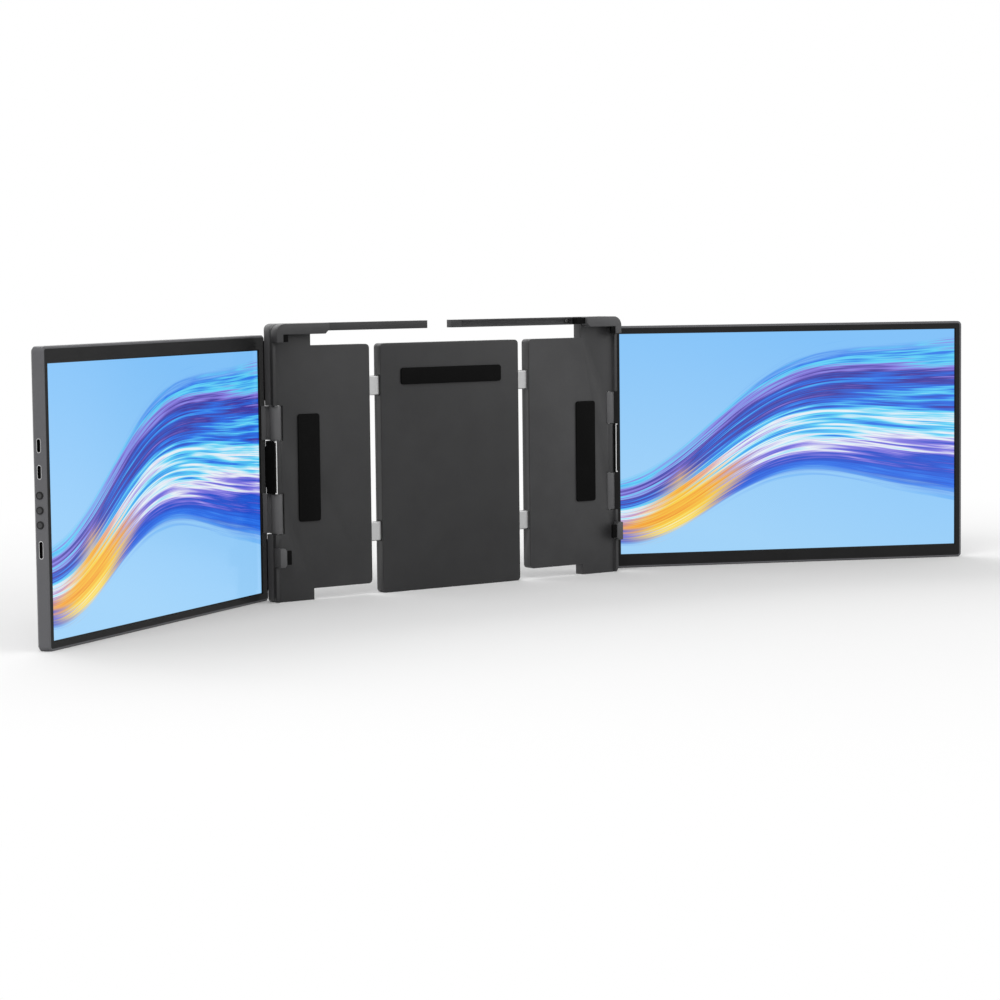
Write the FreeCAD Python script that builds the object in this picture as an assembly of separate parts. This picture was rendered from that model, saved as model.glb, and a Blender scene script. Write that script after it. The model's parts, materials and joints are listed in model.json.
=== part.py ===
"""Screen extender for a notebook: a back frame that grips the lid and carries two hinged monitors.

Millimetres, +Z up, +X to the user's right, the user at -Y. The origin is the middle of the centre
unit's bottom face. Depths named here run back from the plane of the gripped lid's own display.
"""

import FreeCAD, Part
import math
import os

V = FreeCAD.Vector

# Fits
slide_gap = 0.3
running_gap = 0.05
seat_gap = 0.3

# The lid that is gripped
lid_width = 304.1
lid_thickness = 3.8
lid_top = 187.4

# Depths of the back frame, from the lid's display plane
pad_thickness = 1.3
pad_front = lid_thickness + seat_gap
frame_front = pad_front + pad_thickness
frame_thickness = 2.0
shell_front = frame_front + frame_thickness
shell_thickness = 6.8
shell_back = shell_front + shell_thickness
lip_thickness = 2.4
lip_back = -0.6
lip_front = lip_back - lip_thickness

# Each half of the back frame, drawn for the right side
unit_half_width = 62.0
side_gap = 0.55
side_wall = 2.4
half_outer = lid_width / 2 + side_gap + side_wall
column_width = 33.0
column_inner = half_outer - column_width
hook_gap = 0.8
hook_underside = lid_top + hook_gap
hook_cap = 7.55
half_height = hook_underside + hook_cap
skirt_depth = 2.4
skirt_width = 2.45
plate_gap = 10.0
plate_inner = unit_half_width + plate_gap
plate_bottom = 8.0
plate_corner = 3.0
plate_lower = 15.75
plate_top = half_height - plate_lower
top_corner_radius = 7.0
bottom_corner_radius = 4.0
rear_edge_radius = 3.6
rear_rib_width = 8.0
rear_rib_depth = 2.4
rib_back = shell_back + rear_rib_depth
seam_width = 1.1
seam_depth = 0.9
arm_height = 5.6
arm_depth = 6.4
left_arm_end = 20.5
right_arm_end = 1.5
arm_block_length = 8.6
arm_channel_depth = 3.0
arm_stop_length = 8.0
arm_channel_rim = 1.0
shell_pocket_depth = 3.0
shell_pocket_rim = 4.0
shell_pocket_gap = 8.0

# Corner hook and side claw
left_hook_length = 44.0
right_hook_length = 33.5
hook_leg_width = 5.6
hook_leg_drop = 5.4
hook_chamfer = 3.0
hook_pad_gap = 0.2
grip_pad_width = 4.2
grip_pad_thickness = 2.0
grip_pad_back = -0.4
claw_bottom = 25.2
claw_height = 13.6
claw_chamfer = 1.8

# Centre unit and slides
unit_height = plate_top
unit_front = frame_front + 0.2
unit_thickness = 5.4
cover_front = unit_front + unit_thickness
cover_back = shell_back
unit_edge_radius = 3.0
rail_height = 14.0
rail_thickness = 3.2
rail_corner = 0.8
rail_front = shell_front + 0.1
rail_inner = 12.0
rail_seat_length = 30.0
rail_centres = (45.0, 150.0)
unit_pocket_rim = 5.0
unit_screw_lift = 8.0

# Kickstand on the back of the centre unit
stand_width = 70.0
stand_height = 104.0
stand_thickness = 2.0
stand_corner = 4.0
stand_axis_height = 118.0
stand_pin_radius = 1.0
stand_eye_radius = 1.6
stand_recess_gap = 0.4
stand_foot_height = 6.0
stand_foot_inset = 8.0
stand_foot_thickness = 0.8
stand_foot_lift = 4.0
stand_eye_length = 14.0
stand_eye_drop = 4.2
stand_neck = 7.6
stand_finger_room = 6.0
stand_pin_bite = 6.0

# Lid pads on the frame
pad_corner = 2.0
lid_pad_width = 18.0
lid_pad_edge = 6.0
lid_pad_inner = column_inner - lid_pad_edge
centre_pad_width = 90.0
centre_pad_height = 12.0
centre_pad_bottom = 150.0
lid_pad_bottom = 56.0
lid_pad_height = 76.0

# Hinges
hinge_inset = 4.6
hinge_x = half_outer - hinge_inset
hinge_depth = 8.2
barrel_radius = 4.1
pin_radius = 1.5
pin_bite = 8.0
hinge_bottom = 48.0
hinge_top = 138.5
knuckle_bottom = 76.8
knuckle_top = 113.8
knuckle_gap = 0.4
hinge_cut = 7.2
hinge_cut_inner = hinge_x - hinge_cut
centre_knuckle_radius = 3.8
insert_depth = 3.6
web_outer = -2.2
web_thickness = 1.9
web_groove = 1.1
web_groove_depth = 1.0
web_groove_places = (4.6, 7.6)
foot_thickness = 2.0
foot_height = 60.0
foot_bite = 14.0
foot_gap = 0.4

# Monitors
display_width = 275.4
display_height = 172.1
bezel_inner = 8.0
bezel_outer = 5.0
bezel_thick = 10.0
bezel_thin = 5.5
monitor_thickness = 9.3
monitor_corner = 3.2
monitor_wall = 1.6
front_chamfer = 0.7
back_chamfer = 1.6
bezel_depth = 1.2
bezel_seat = 0.9
panel_thickness = 1.7
panel_overlap = 0.6
monitor_width = bezel_inner + display_width + bezel_outer
monitor_height = bezel_thick + display_height + bezel_thin
left_set_back = 12.28
left_edge_offset = -8.74
left_angle = 30.0
right_set_back = 22.26
right_edge_offset = 6.47
right_angle = 24.9

# Sockets, buttons and board, as distances from the thick-bezel edge
usb_centres = (60.7, 77.0)
button_centres = (91.3, 100.5, 109.5)
hdmi_centre = 124.9
usb_length = 8.94
usb_thickness = 3.26
usb_depth = 7.3
hdmi_length = 11.2
hdmi_thickness = 3.2
hdmi_depth = 7.5
socket_wall = 0.35
socket_inset = 0.15
button_radius = 2.45
button_length = 3.7
button_proud = 0.7
button_flange = 0.45
button_flange_thickness = 0.6
button_travel = 0.6
board_thickness = 1.2
board_width = 46.0
board_margin = 14.0
switch_width = 4.0
switch_depth = 1.9

# Fasteners
screw_radius = 0.9
screw_head_radius = 1.9
screw_head_height = 0.9
screw_length = 4.2
monitor_screw_inset = 9.0
half_screw_inset = 7.0

origin_depth = (unit_front + cover_back) / 2


def block(x0, y0, z0, x1, y1, z1):
    return Part.makeBox(x1 - x0, y1 - y0, z1 - z0, V(x0, y0, z0))


def rounded_block(x0, y0, z0, x1, y1, z1, radius, along):
    """A block whose four edges along one axis are rounded."""
    body = block(x0, y0, z0, x1, y1, z1)
    edges = [e for e in body.Edges if abs(e.tangentAt(e.FirstParameter).dot(along)) > 0.99]
    return body.makeFillet(radius, edges)


def prism_xz(points, y0, y1):
    """A prism along Y over an outline of (x, z) points."""
    wire = Part.makePolygon([V(x, y0, z) for x, z in points + points[:1]])
    return Part.Face(wire).extrude(V(0, y1 - y0, 0))


def upright(x, y, z0, z1, radius):
    return Part.makeCylinder(radius, z1 - z0, V(x, y, z0))


def group(solids):
    return solids[0] if len(solids) == 1 else Part.makeCompound(solids)


def outline_block():
    """What the outer corners of a half stay inside."""
    tall = block(-unit_half_width, lip_front, 0, half_outer, rib_back, half_height)
    for z, radius in ((half_height, top_corner_radius), (0, bottom_corner_radius)):
        tall = tall.makeFillet(radius, [e for e in tall.Edges if edge_at(e, half_outer, z)])
    return tall


def edge_at(edge, x, z):
    """Whether an edge runs along Y at this x and z."""
    middle = edge.CenterOfMass
    return abs(middle.x - x) < 1e-6 and abs(middle.z - z) < 1e-6


def screw(head, direction):
    """A countersunk screw whose head's outer face is centred at head."""
    cone = Part.makeCone(screw_head_radius, screw_radius, screw_head_height, head, direction)
    shank = Part.makeCylinder(screw_radius, screw_length, head, direction)
    return cone.fuse(shank).removeSplitter()


def rails():
    made = []
    for centre in rail_centres:
        made.append(rounded_block(
            rail_inner, rail_front, centre - rail_height / 2,
            plate_inner + rail_seat_length, rail_front + rail_thickness, centre + rail_height / 2,
            rail_corner, V(1, 0, 0)))
    return made


def hinge_room():
    """The space that the arm's two knuckles and its web need in the column."""
    barrel_side = hinge_x - barrel_radius - knuckle_gap
    made = []
    for low, high in ((hinge_bottom, knuckle_bottom), (knuckle_top, hinge_top)):
        made.append(block(hinge_cut_inner, shell_front, low, half_outer + 1, rib_back + 1, high))
        made.append(block(barrel_side, lip_front, low, half_outer + 1, rib_back + 1, high))
    return group(made)


def centre_knuckle():
    return upright(hinge_x, hinge_depth, knuckle_bottom, knuckle_top, centre_knuckle_radius)


def column_section():
    """The column's outer part: its front skirt, its body and the rounded rib behind."""
    body = block(half_outer - rear_rib_width, frame_front, 0, half_outer, rib_back, half_height)
    skirt = block(half_outer - skirt_width, frame_front - skirt_depth, 0,
                  half_outer, frame_front, half_height)
    body = body.fuse(skirt).removeSplitter()
    rear = [e for e in body.Edges
            if abs(e.CenterOfMass.x - half_outer) < 1e-6 and abs(e.CenterOfMass.y - rib_back) < 1e-6]
    return body.makeFillet(rear_edge_radius, rear)


def insert_zone():
    """Where the dark insert between the two knuckles sits in the column's outer face."""
    return block(half_outer - insert_depth, lip_front, knuckle_bottom,
                 half_outer + 1, rib_back + 1, knuckle_top)


def hinge_insert():
    return column_section().common(insert_zone()).cut(centre_knuckle())


def arm_channel(arm_end):
    arm_bottom = half_height - arm_height
    return block(arm_end + arm_block_length, frame_front, arm_bottom + arm_channel_rim,
                 half_outer - right_hook_length - arm_stop_length,
                 frame_front + arm_channel_depth, half_height - arm_channel_rim)


def arm_stop():
    """The soft stop between the arm's channel and the corner hook."""
    end = half_outer - right_hook_length
    rim = arm_channel_rim
    return block(end - arm_stop_length, lip_back, half_height - arm_height + rim / 2,
                 end, frame_front, half_height - rim / 2)


def arm_screw():
    """The screw that holds the stop, in the channel's end."""
    x = half_outer - right_hook_length - arm_stop_length - screw_head_radius - arm_channel_rim
    z = half_height - arm_height / 2
    return screw(V(x, frame_front + arm_channel_depth - screw_head_height, z), V(0, 1, 0))


def half_frame(arm_end, channelled):
    column = block(column_inner, frame_front, 0, half_outer, shell_front, half_height)
    skirt = block(half_outer - skirt_width, frame_front - skirt_depth, 0,
                  half_outer, frame_front, hook_underside - hook_leg_drop)
    claw_top = claw_bottom + claw_height
    skirt = skirt.cut(block(0, lip_front, claw_bottom, half_outer, frame_front, claw_top))
    column = column.fuse(skirt).common(outline_block()).cut(hinge_room()).cut(insert_zone())
    column = column.cut(block(half_outer - seam_depth, shell_front - seam_width, 0,
                              half_outer, shell_front, half_height))
    plate = rounded_block(plate_inner, frame_front, plate_bottom, column_inner + plate_corner,
                          shell_front, plate_top, plate_corner, V(0, 1, 0))
    arm_bottom = half_height - arm_height
    arm = block(arm_end, frame_front, arm_bottom, column_inner, shell_front, half_height)
    frame = column.fuse(plate).fuse(arm).fuse(centre_knuckle()).removeSplitter()
    if channelled:
        frame = frame.cut(arm_channel(arm_end))
    return frame


def half_shell(arm_end, channelled):
    column = block(column_inner, shell_front, 0,
                   half_outer - rear_rib_width, shell_back, half_height)
    rib = column_section().common(block(0, shell_front, 0, half_outer, rib_back, half_height))
    column = column.fuse(rib).common(outline_block()).cut(hinge_room()).cut(insert_zone())
    column = column.cut(centre_knuckle())
    plate = rounded_block(plate_inner, shell_front, plate_bottom, column_inner + plate_corner,
                          shell_back, plate_top, plate_corner, V(0, 1, 0))
    arm_back = frame_front + arm_depth
    arm = block(arm_end, shell_front, half_height - arm_height, column_inner, arm_back, half_height)
    shell = column.fuse(plate).fuse(arm).removeSplitter()
    if channelled:
        shell = shell.cut(arm_channel(arm_end))
    low = rail_centres[0] + rail_height / 2 + shell_pocket_gap
    high = rail_centres[1] - rail_height / 2 - shell_pocket_gap
    return shell.cut(block(
        plate_inner + shell_pocket_rim, shell_front, low,
        hinge_cut_inner - shell_pocket_rim, shell_front + shell_pocket_depth, high))


def corner_hook(hook_length):
    inner = half_outer - hook_length
    cap = prism_xz([(inner, half_height), (inner, hook_underside + hook_chamfer),
                    (inner + hook_chamfer, hook_underside), (half_outer, hook_underside),
                    (half_outer, half_height)], lip_front, frame_front)
    leg_bottom = hook_underside - hook_leg_drop
    plate = block(half_outer - hook_leg_width, lip_front, leg_bottom,
                  half_outer, lip_back, hook_underside)
    wall = block(half_outer - side_wall, lip_back, leg_bottom,
                 half_outer, frame_front, hook_underside)
    return cap.fuse(plate).fuse(wall).removeSplitter().common(outline_block())


def hook_pad():
    outer = half_outer - hook_leg_width
    return block(outer - grip_pad_width, grip_pad_back - grip_pad_thickness,
                 hook_underside - hook_leg_drop + hook_pad_gap, outer, grip_pad_back, hook_underside)


def side_claw():
    inner = half_outer - hook_leg_width
    top = claw_bottom + claw_height
    plate = prism_xz([(half_outer, claw_bottom), (half_outer, top), (inner + claw_chamfer, top),
                      (inner, top - claw_chamfer), (inner, claw_bottom + claw_chamfer),
                      (inner + claw_chamfer, claw_bottom)], lip_front, lip_back)
    wall = block(half_outer - side_wall, lip_back, claw_bottom, half_outer, frame_front, top)
    return plate.fuse(wall).removeSplitter()


def claw_pad():
    outer = half_outer - hook_leg_width
    chamfer = claw_chamfer
    return block(outer - grip_pad_width, grip_pad_back - grip_pad_thickness,
                 claw_bottom + chamfer, outer, grip_pad_back, claw_bottom + claw_height - chamfer)


def lid_pad():
    return rounded_block(lid_pad_inner, pad_front, lid_pad_bottom, lid_pad_inner + lid_pad_width,
                         frame_front, lid_pad_bottom + lid_pad_height, pad_corner, V(0, 1, 0))


def hinge_pin():
    return upright(hinge_x, hinge_depth, hinge_bottom - pin_bite, hinge_top + pin_bite, pin_radius)


def half_screws():
    made = []
    for x in (plate_inner + half_screw_inset, column_inner + half_screw_inset):
        for z in (plate_bottom + half_screw_inset, plate_top - half_screw_inset):
            made.append(screw(V(x, shell_back, z), V(0, -1, 0)))
    return made


def half(arm_end, hook_length, channelled):
    """All pieces of the right half, by name."""
    rail_pieces = rails()
    screw_pieces = half_screws()
    pin = hinge_pin()
    frame = half_frame(arm_end, channelled)
    shell = half_shell(arm_end, channelled)
    if channelled:
        screw_pieces.append(arm_screw())
    for tool in rail_pieces + screw_pieces + [pin]:
        frame = frame.cut(tool)
        shell = shell.cut(tool)
    pieces = {
        "frame": frame, "back_shell": shell, "slide_rails": group(rail_pieces),
        "lid_pad": lid_pad(), "corner_hook": corner_hook(hook_length), "hook_pad": hook_pad(),
        "side_claw": side_claw(), "claw_pad": claw_pad(), "hinge_pin": pin,
        "hinge_insert": hinge_insert().cut(pin),
        "frame_screws": group(screw_pieces),
    }
    if channelled:
        pieces["arm_stop"] = arm_stop()
    return pieces


def kickstand():
    top = stand_axis_height
    back = cover_back
    half = stand_width / 2
    leaf = rounded_block(-half, back - stand_thickness, top - stand_height,
                         half, back, top - stand_eye_radius, stand_corner, V(0, 1, 0))
    neck = block(-half, back - stand_thickness, top - stand_neck, half, back, top)
    neck = neck.cut(block(-half + stand_eye_length, back - stand_thickness, top - stand_eye_drop,
                          half - stand_eye_length, back, top))
    eye_depth = back - stand_eye_radius
    leaf = leaf.fuse(neck)
    for x in (-half, half - stand_eye_length):
        eye = Part.makeCylinder(stand_eye_radius, stand_eye_length, V(x, eye_depth, top), V(1, 0, 0))
        leaf = leaf.fuse(eye)
    bore = Part.makeCylinder(stand_pin_radius + running_gap, stand_width,
                             V(-half, eye_depth, top), V(1, 0, 0))
    return leaf.removeSplitter().cut(bore).cut(stand_foot())


def stand_foot():
    low = stand_axis_height - stand_height + stand_foot_lift
    reach = stand_width / 2 - stand_foot_inset
    return block(-reach, cover_back - stand_foot_thickness, low,
                 reach, cover_back, low + stand_foot_height)


def stand_pin():
    reach = stand_width / 2 + stand_pin_bite
    return Part.makeCylinder(stand_pin_radius, 2 * reach,
                             V(-reach, cover_back - stand_eye_radius, stand_axis_height), V(1, 0, 0))


def centre_pad():
    return rounded_block(-centre_pad_width / 2, pad_front, centre_pad_bottom,
                         centre_pad_width / 2, unit_front, centre_pad_bottom + centre_pad_height,
                         pad_corner, V(0, 1, 0))


def centre_housing():
    unit = rounded_block(-unit_half_width, unit_front, 0, unit_half_width, cover_front,
                         unit_height, unit_edge_radius, V(0, 1, 0))
    for centre in rail_centres:
        reach = rail_height / 2 + slide_gap
        unit = unit.cut(block(-unit_half_width, rail_front - slide_gap, centre - reach,
                              unit_half_width, cover_front, centre + reach))
    low = rail_centres[0] + rail_height / 2 + unit_pocket_rim
    high = rail_centres[1] - rail_height / 2 - unit_pocket_rim
    return unit.cut(block(-unit_half_width + unit_pocket_rim, rail_front, low,
                          unit_half_width - unit_pocket_rim, cover_front, high))


def unit_screws():
    made = []
    inset = half_screw_inset
    for x in (-unit_half_width + inset, unit_half_width - inset):
        for z in (inset + unit_screw_lift, unit_height - inset):
            made.append(screw(V(x, cover_back, z), V(0, -1, 0)))
    return made


def centre_cover(pin, screws):
    cover = rounded_block(-unit_half_width, cover_front, 0, unit_half_width, cover_back,
                          unit_height, unit_edge_radius, V(0, 1, 0))
    gap = stand_recess_gap
    side = stand_width / 2 + gap
    top = stand_axis_height + stand_eye_radius + gap
    low = stand_axis_height - stand_height - gap - stand_finger_room
    recess = block(-side, cover_back - stand_thickness - gap, low, side, cover_back + 1, top)
    deep = 2 * stand_eye_radius + gap
    eye_room = block(-side, cover_back - deep, stand_axis_height - 2 * stand_eye_radius,
                     side, cover_back + 1, top)
    cover = cover.cut(recess).cut(eye_room.common(cover)).cut(pin)
    for tool in screws:
        cover = cover.cut(tool)
    return cover


def monitor_arm(set_back, offset):
    """The hinge arm, with X outward along the monitor, Y back from the hinge axis."""
    inner = web_outer - web_thickness
    low = hinge_bottom + knuckle_gap
    high = hinge_top - knuckle_gap
    arm = upright(0, 0, low, knuckle_bottom - knuckle_gap, barrel_radius)
    arm = arm.fuse(upright(0, 0, knuckle_top + knuckle_gap, high, barrel_radius))
    seat = set_back + bezel_depth
    if offset > 0:
        seat = set_back + bezel_depth + panel_thickness + foot_thickness
    web = block(inner, 0, low, web_outer, seat + foot_thickness, high)
    web = web.cut(block(inner, 0, knuckle_bottom - knuckle_gap, web_outer, seat,
                        knuckle_top + knuckle_gap))
    for place in web_groove_places:
        web = web.cut(block(web_outer - web_groove_depth, place, low,
                            web_outer, place + web_groove, high))
    middle = (low + high) / 2
    reach = offset + bezel_inner + foot_bite if offset > 0 else web_outer
    start = offset + monitor_wall + foot_gap if offset < 0 else inner
    foot = block(min(start, inner), seat, middle - foot_height / 2, reach,
                 seat + foot_thickness, middle + foot_height / 2)
    arm = arm.fuse(web).fuse(foot).removeSplitter()
    return arm.cut(upright(0, 0, low, high, pin_radius + running_gap))


def ring_socket(length, thickness, depth, centre):
    """A socket shell whose mouth is on the monitor's outer face, long side upright."""
    mouth = monitor_width - socket_inset
    middle = monitor_thickness / 2
    radius = thickness / 2 - 0.02
    outer = rounded_block(mouth - depth, middle - thickness / 2, centre - length / 2,
                          mouth, middle + thickness / 2, centre + length / 2, radius, V(1, 0, 0))
    w = socket_wall
    bore = rounded_block(mouth - depth + w, middle - thickness / 2 + w, centre - length / 2 + w,
                         mouth, middle + thickness / 2 - w, centre + length / 2 - w,
                         radius - w, V(1, 0, 0))
    tongue = block(mouth - depth + w / 2, middle - 0.35, centre - length / 2 + 1.8,
                   mouth - 1.0, middle + 0.35, centre + length / 2 - 1.8)
    return outer.cut(bore).fuse(tongue)


def button(centre):
    face = monitor_width + button_proud
    middle = monitor_thickness / 2
    stem = Part.makeCylinder(button_radius, button_length, V(face, middle, centre), V(-1, 0, 0))
    stem = stem.makeFillet(0.3, [e for e in stem.Edges
                                 if abs(e.CenterOfMass.x - face) < 1e-6 and len(e.Vertexes) == 1])
    flange_face = monitor_width - monitor_wall - slide_gap
    flange = Part.makeCylinder(button_radius + button_flange, button_flange_thickness,
                               V(flange_face, middle, centre), V(-1, 0, 0))
    return stem.fuse(flange).removeSplitter()


def monitor_cover():
    body = rounded_block(0, 0, 0, monitor_width, monitor_thickness, monitor_height,
                         monitor_corner, V(0, 1, 0))
    back = [e for e in body.Edges if abs(e.BoundBox.YMin - monitor_thickness) < 1e-6]
    body = body.makeChamfer(back_chamfer, back)
    front = [e for e in body.Edges if abs(e.BoundBox.YMax) < 1e-6]
    body = body.makeChamfer(front_chamfer, front)
    w = monitor_wall
    room = rounded_block(w, -1, w, monitor_width - w, monitor_thickness - w, monitor_height - w,
                         monitor_corner - w, V(0, 1, 0))
    return body.cut(room)


def bezel():
    w = monitor_wall
    plate = rounded_block(w, 0, w, monitor_width - w, bezel_depth, monitor_height - w,
                          monitor_corner - w, V(0, 1, 0))
    window = block(bezel_inner, -1, bezel_thick, bezel_inner + display_width, bezel_depth + 1,
                   bezel_thick + display_height)
    lip = block(monitor_corner, bezel_depth, w, monitor_width - monitor_corner,
                bezel_depth + panel_thickness, w + bezel_seat)
    return plate.cut(window).fuse(lip).removeSplitter()


def panel():
    o = panel_overlap
    return block(bezel_inner - o, bezel_depth, bezel_thick - o, bezel_inner + display_width + o,
                 bezel_depth + panel_thickness, bezel_thick + display_height + o)


def board():
    outer = monitor_width - monitor_wall - 0.2
    back = monitor_thickness - monitor_wall
    low = usb_centres[0] - board_margin
    high = hdmi_centre + board_margin
    plate = block(outer - board_width, back - board_thickness, low, outer, back, high)
    tip = monitor_width + button_proud - button_length - button_travel - slide_gap
    middle = monitor_thickness / 2
    for centre in button_centres:
        plate = plate.fuse(block(tip - switch_depth, middle - 1.2, centre - switch_width / 2,
                                 tip, back - board_thickness, centre + switch_width / 2))
    for centre in button_centres:
        room = button_radius + button_flange + slide_gap
        plate = plate.cut(Part.makeCylinder(room, outer - tip, V(tip, middle, centre), V(1, 0, 0)))
    return plate.removeSplitter()


def panel_flex():
    outer = monitor_width - monitor_wall - 0.2
    back = monitor_thickness - monitor_wall - board_thickness
    return block(outer - board_width + 4, bezel_depth + panel_thickness, usb_centres[1] - 12,
                 outer - board_width + 4.4, back, usb_centres[1] + 12)


def monitor_screws():
    made = []
    i = monitor_screw_inset
    for x in (i, monitor_width - i):
        for z in (i, monitor_height - i):
            made.append(screw(V(x, monitor_thickness, z), V(0, -1, 0)))
    return made


def screw_posts(screws):
    """Posts that the cover's screws bite into, standing on its back wall."""
    made = []
    for item in screws:
        middle = item.BoundBox.Center
        made.append(Part.makeCylinder(
            screw_head_radius + 0.3, monitor_thickness - monitor_wall - bezel_depth - panel_thickness,
            V(middle.x, bezel_depth + panel_thickness, middle.z), V(0, 1, 0)))
    return made


def monitor_place(side):
    """How a monitor drawn upright from its inner front corner goes to its place."""
    angle = math.radians(left_angle if side < 0 else right_angle)
    set_back = left_set_back if side < 0 else right_set_back
    offset = left_edge_offset if side < 0 else right_edge_offset
    out = V(side * math.cos(angle), -math.sin(angle), 0)
    back = V(side * math.sin(angle), math.cos(angle), 0)
    up = V(0, 0, side)
    start = V(side * hinge_x, hinge_depth, 0) + out * offset + back * set_back
    if side < 0:
        start = start + V(0, 0, monitor_height)
    return FreeCAD.Placement(FreeCAD.Matrix(
        out.x, back.x, up.x, start.x,
        out.y, back.y, up.y, start.y,
        out.z, back.z, up.z, start.z,
        0, 0, 0, 1))


def monitor(side):
    """All pieces of one monitor, by name. The left one is the same unit upside down."""
    set_back = left_set_back if side < 0 else right_set_back
    offset = left_edge_offset if side < 0 else right_edge_offset
    arm = monitor_arm(set_back, offset)
    arm.translate(V(-offset, -set_back, 0))
    if side < 0:
        arm = arm.mirror(V(0, 0, monitor_height / 2), V(0, 0, 1))
    screws = monitor_screws()
    cover = monitor_cover()
    for post in screw_posts(screws):
        cover = cover.fuse(post)
    cover = cover.removeSplitter()
    sockets = {"usb_socket_a": ring_socket(usb_length, usb_thickness, usb_depth, usb_centres[0]),
               "usb_socket_b": ring_socket(usb_length, usb_thickness, usb_depth, usb_centres[1]),
               "hdmi_socket": ring_socket(hdmi_length, hdmi_thickness, hdmi_depth, hdmi_centre)}
    board_piece = board()
    bezel_piece = bezel()
    for length, thickness, centre in ((usb_length, usb_thickness, usb_centres[0]),
                                      (usb_length, usb_thickness, usb_centres[1]),
                                      (hdmi_length, hdmi_thickness, hdmi_centre)):
        mouth = rounded_block(
            monitor_width - 9, (monitor_thickness - thickness) / 2, centre - length / 2,
            monitor_width + 1, (monitor_thickness + thickness) / 2, centre + length / 2,
            thickness / 2 - 0.02, V(1, 0, 0))
        cover = cover.cut(mouth)
        board_piece = board_piece.cut(mouth)
    for centre in button_centres:
        cover = cover.cut(Part.makeCylinder(
            button_radius + running_gap, monitor_wall + 2,
            V(monitor_width - monitor_wall - 1, monitor_thickness / 2, centre), V(1, 0, 0)))
    for tool in screws:
        cover = cover.cut(tool)
    cover = cover.cut(arm)
    bezel_piece = bezel_piece.cut(arm)
    pieces = {"rear_cover": cover, "bezel": bezel_piece, "display_panel": panel(),
              "driver_board": board_piece, "panel_flex": panel_flex(), "hinge_arm": arm,
              "cover_screws": group(screws)}
    pieces.update(sockets)
    for name, centre in zip(("power_button", "plus_button", "minus_button"), button_centres):
        pieces[name] = button(centre)
    return {name: shape.copy() for name, shape in pieces.items()}


def placed(shape, place):
    made = shape.copy()
    made.Placement = place.multiply(made.Placement)
    return made


def export(name, shape):
    made = shape.copy()
    made.translate(V(0, -origin_depth, 0))
    made.exportStep(os.path.join("parts", name + ".step"))


def build():
    os.makedirs("parts", exist_ok=True)
    pin = stand_pin()
    screws = unit_screws()
    housing = centre_housing()
    for tool in screws:
        housing = housing.cut(tool)
    export("centre_housing", housing)
    export("centre_cover", centre_cover(pin, screws))
    export("centre_screws", group(screws))
    export("centre_pad", centre_pad())
    export("kickstand", kickstand())
    export("kickstand_foot", stand_foot())
    export("kickstand_pin", pin)
    for name, shape in half(right_arm_end, right_hook_length, True).items():
        export("right_" + name, shape)
    for name, shape in half(left_arm_end, left_hook_length, False).items():
        export("left_" + name, shape.mirror(V(0, 0, 0), V(1, 0, 0)))
    for side, word in ((-1, "left_"), (1, "right_")):
        place = monitor_place(side)
        for name, shape in monitor(side).items():
            export(word + name, placed(shape, place))


build()
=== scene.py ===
import json
import math

import bmesh
import bpy
from mathutils import Matrix, Vector

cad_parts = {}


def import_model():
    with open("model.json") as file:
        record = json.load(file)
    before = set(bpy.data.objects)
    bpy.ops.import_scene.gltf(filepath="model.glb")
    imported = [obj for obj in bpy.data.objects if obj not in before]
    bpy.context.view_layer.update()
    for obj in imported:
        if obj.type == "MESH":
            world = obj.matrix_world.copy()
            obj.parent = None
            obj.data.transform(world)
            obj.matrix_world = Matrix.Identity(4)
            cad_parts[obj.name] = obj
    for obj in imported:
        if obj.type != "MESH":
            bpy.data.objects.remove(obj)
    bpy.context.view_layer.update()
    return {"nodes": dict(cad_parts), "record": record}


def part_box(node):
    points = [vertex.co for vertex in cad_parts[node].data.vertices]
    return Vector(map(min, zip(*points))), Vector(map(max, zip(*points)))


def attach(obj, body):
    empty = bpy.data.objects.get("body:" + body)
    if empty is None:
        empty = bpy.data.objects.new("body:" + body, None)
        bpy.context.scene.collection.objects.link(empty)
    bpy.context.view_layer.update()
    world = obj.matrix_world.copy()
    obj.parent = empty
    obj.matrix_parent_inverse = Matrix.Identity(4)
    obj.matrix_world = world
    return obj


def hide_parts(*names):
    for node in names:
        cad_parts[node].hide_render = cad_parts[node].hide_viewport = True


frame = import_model()

MM = 0.001
NODES = frame["nodes"]
BODY_OF = {n: b for b, members in frame["record"]["behaviour"]["bodies"].items() for n in members}
SLOT_OF = {s["node"]: s["material_slot"] for s in frame["record"]["subparts"]}
SIDES = (("left", -1), ("right", 1))
UP = Vector((0, 0, 1))
REARWARDS = Vector((0, 1, 0))

# Camera, solved for the photograph's view
CAMERA_PLACE = Vector((-1.2052, -1.6644, 0.2269))
CAMERA_FORWARD = Vector((0.5993, 0.7966, -0.07945))
CAMERA_RIGHT = Vector((0.7985, -0.6019, -0.01135))
CAMERA_LENS = 100.98
CAMERA_SENSOR = 36.0
CAMERA_REACH = 100.0

# Lamps: place, width and depth, and power; all of them look at one point
LAMP_AIM = Vector((0, 0, 0.1))
LAMPS = {
    "key": ((-1.6, -1.2, 1.9), (1.6, 1.2), 26),
    "fill": ((1.6, -1.8, 1.2), (1.8, 1.4), 12),
    "rear": ((0.2, 1.7, 1.5), (2.2, 1.0), 16),
}
# The white room: the light it gives, and how bright it looks and mirrors
ROOM_LIGHT = 0.55
ROOM_SEEN = 1.0

# The floor, and where it begins to fade to white and where it has, from the object's middle
FLOOR_RADIUS = 40.0
FLOOR_SHADE = 0.94
FLOOR_FADE = (0.35, 0.95)

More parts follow.
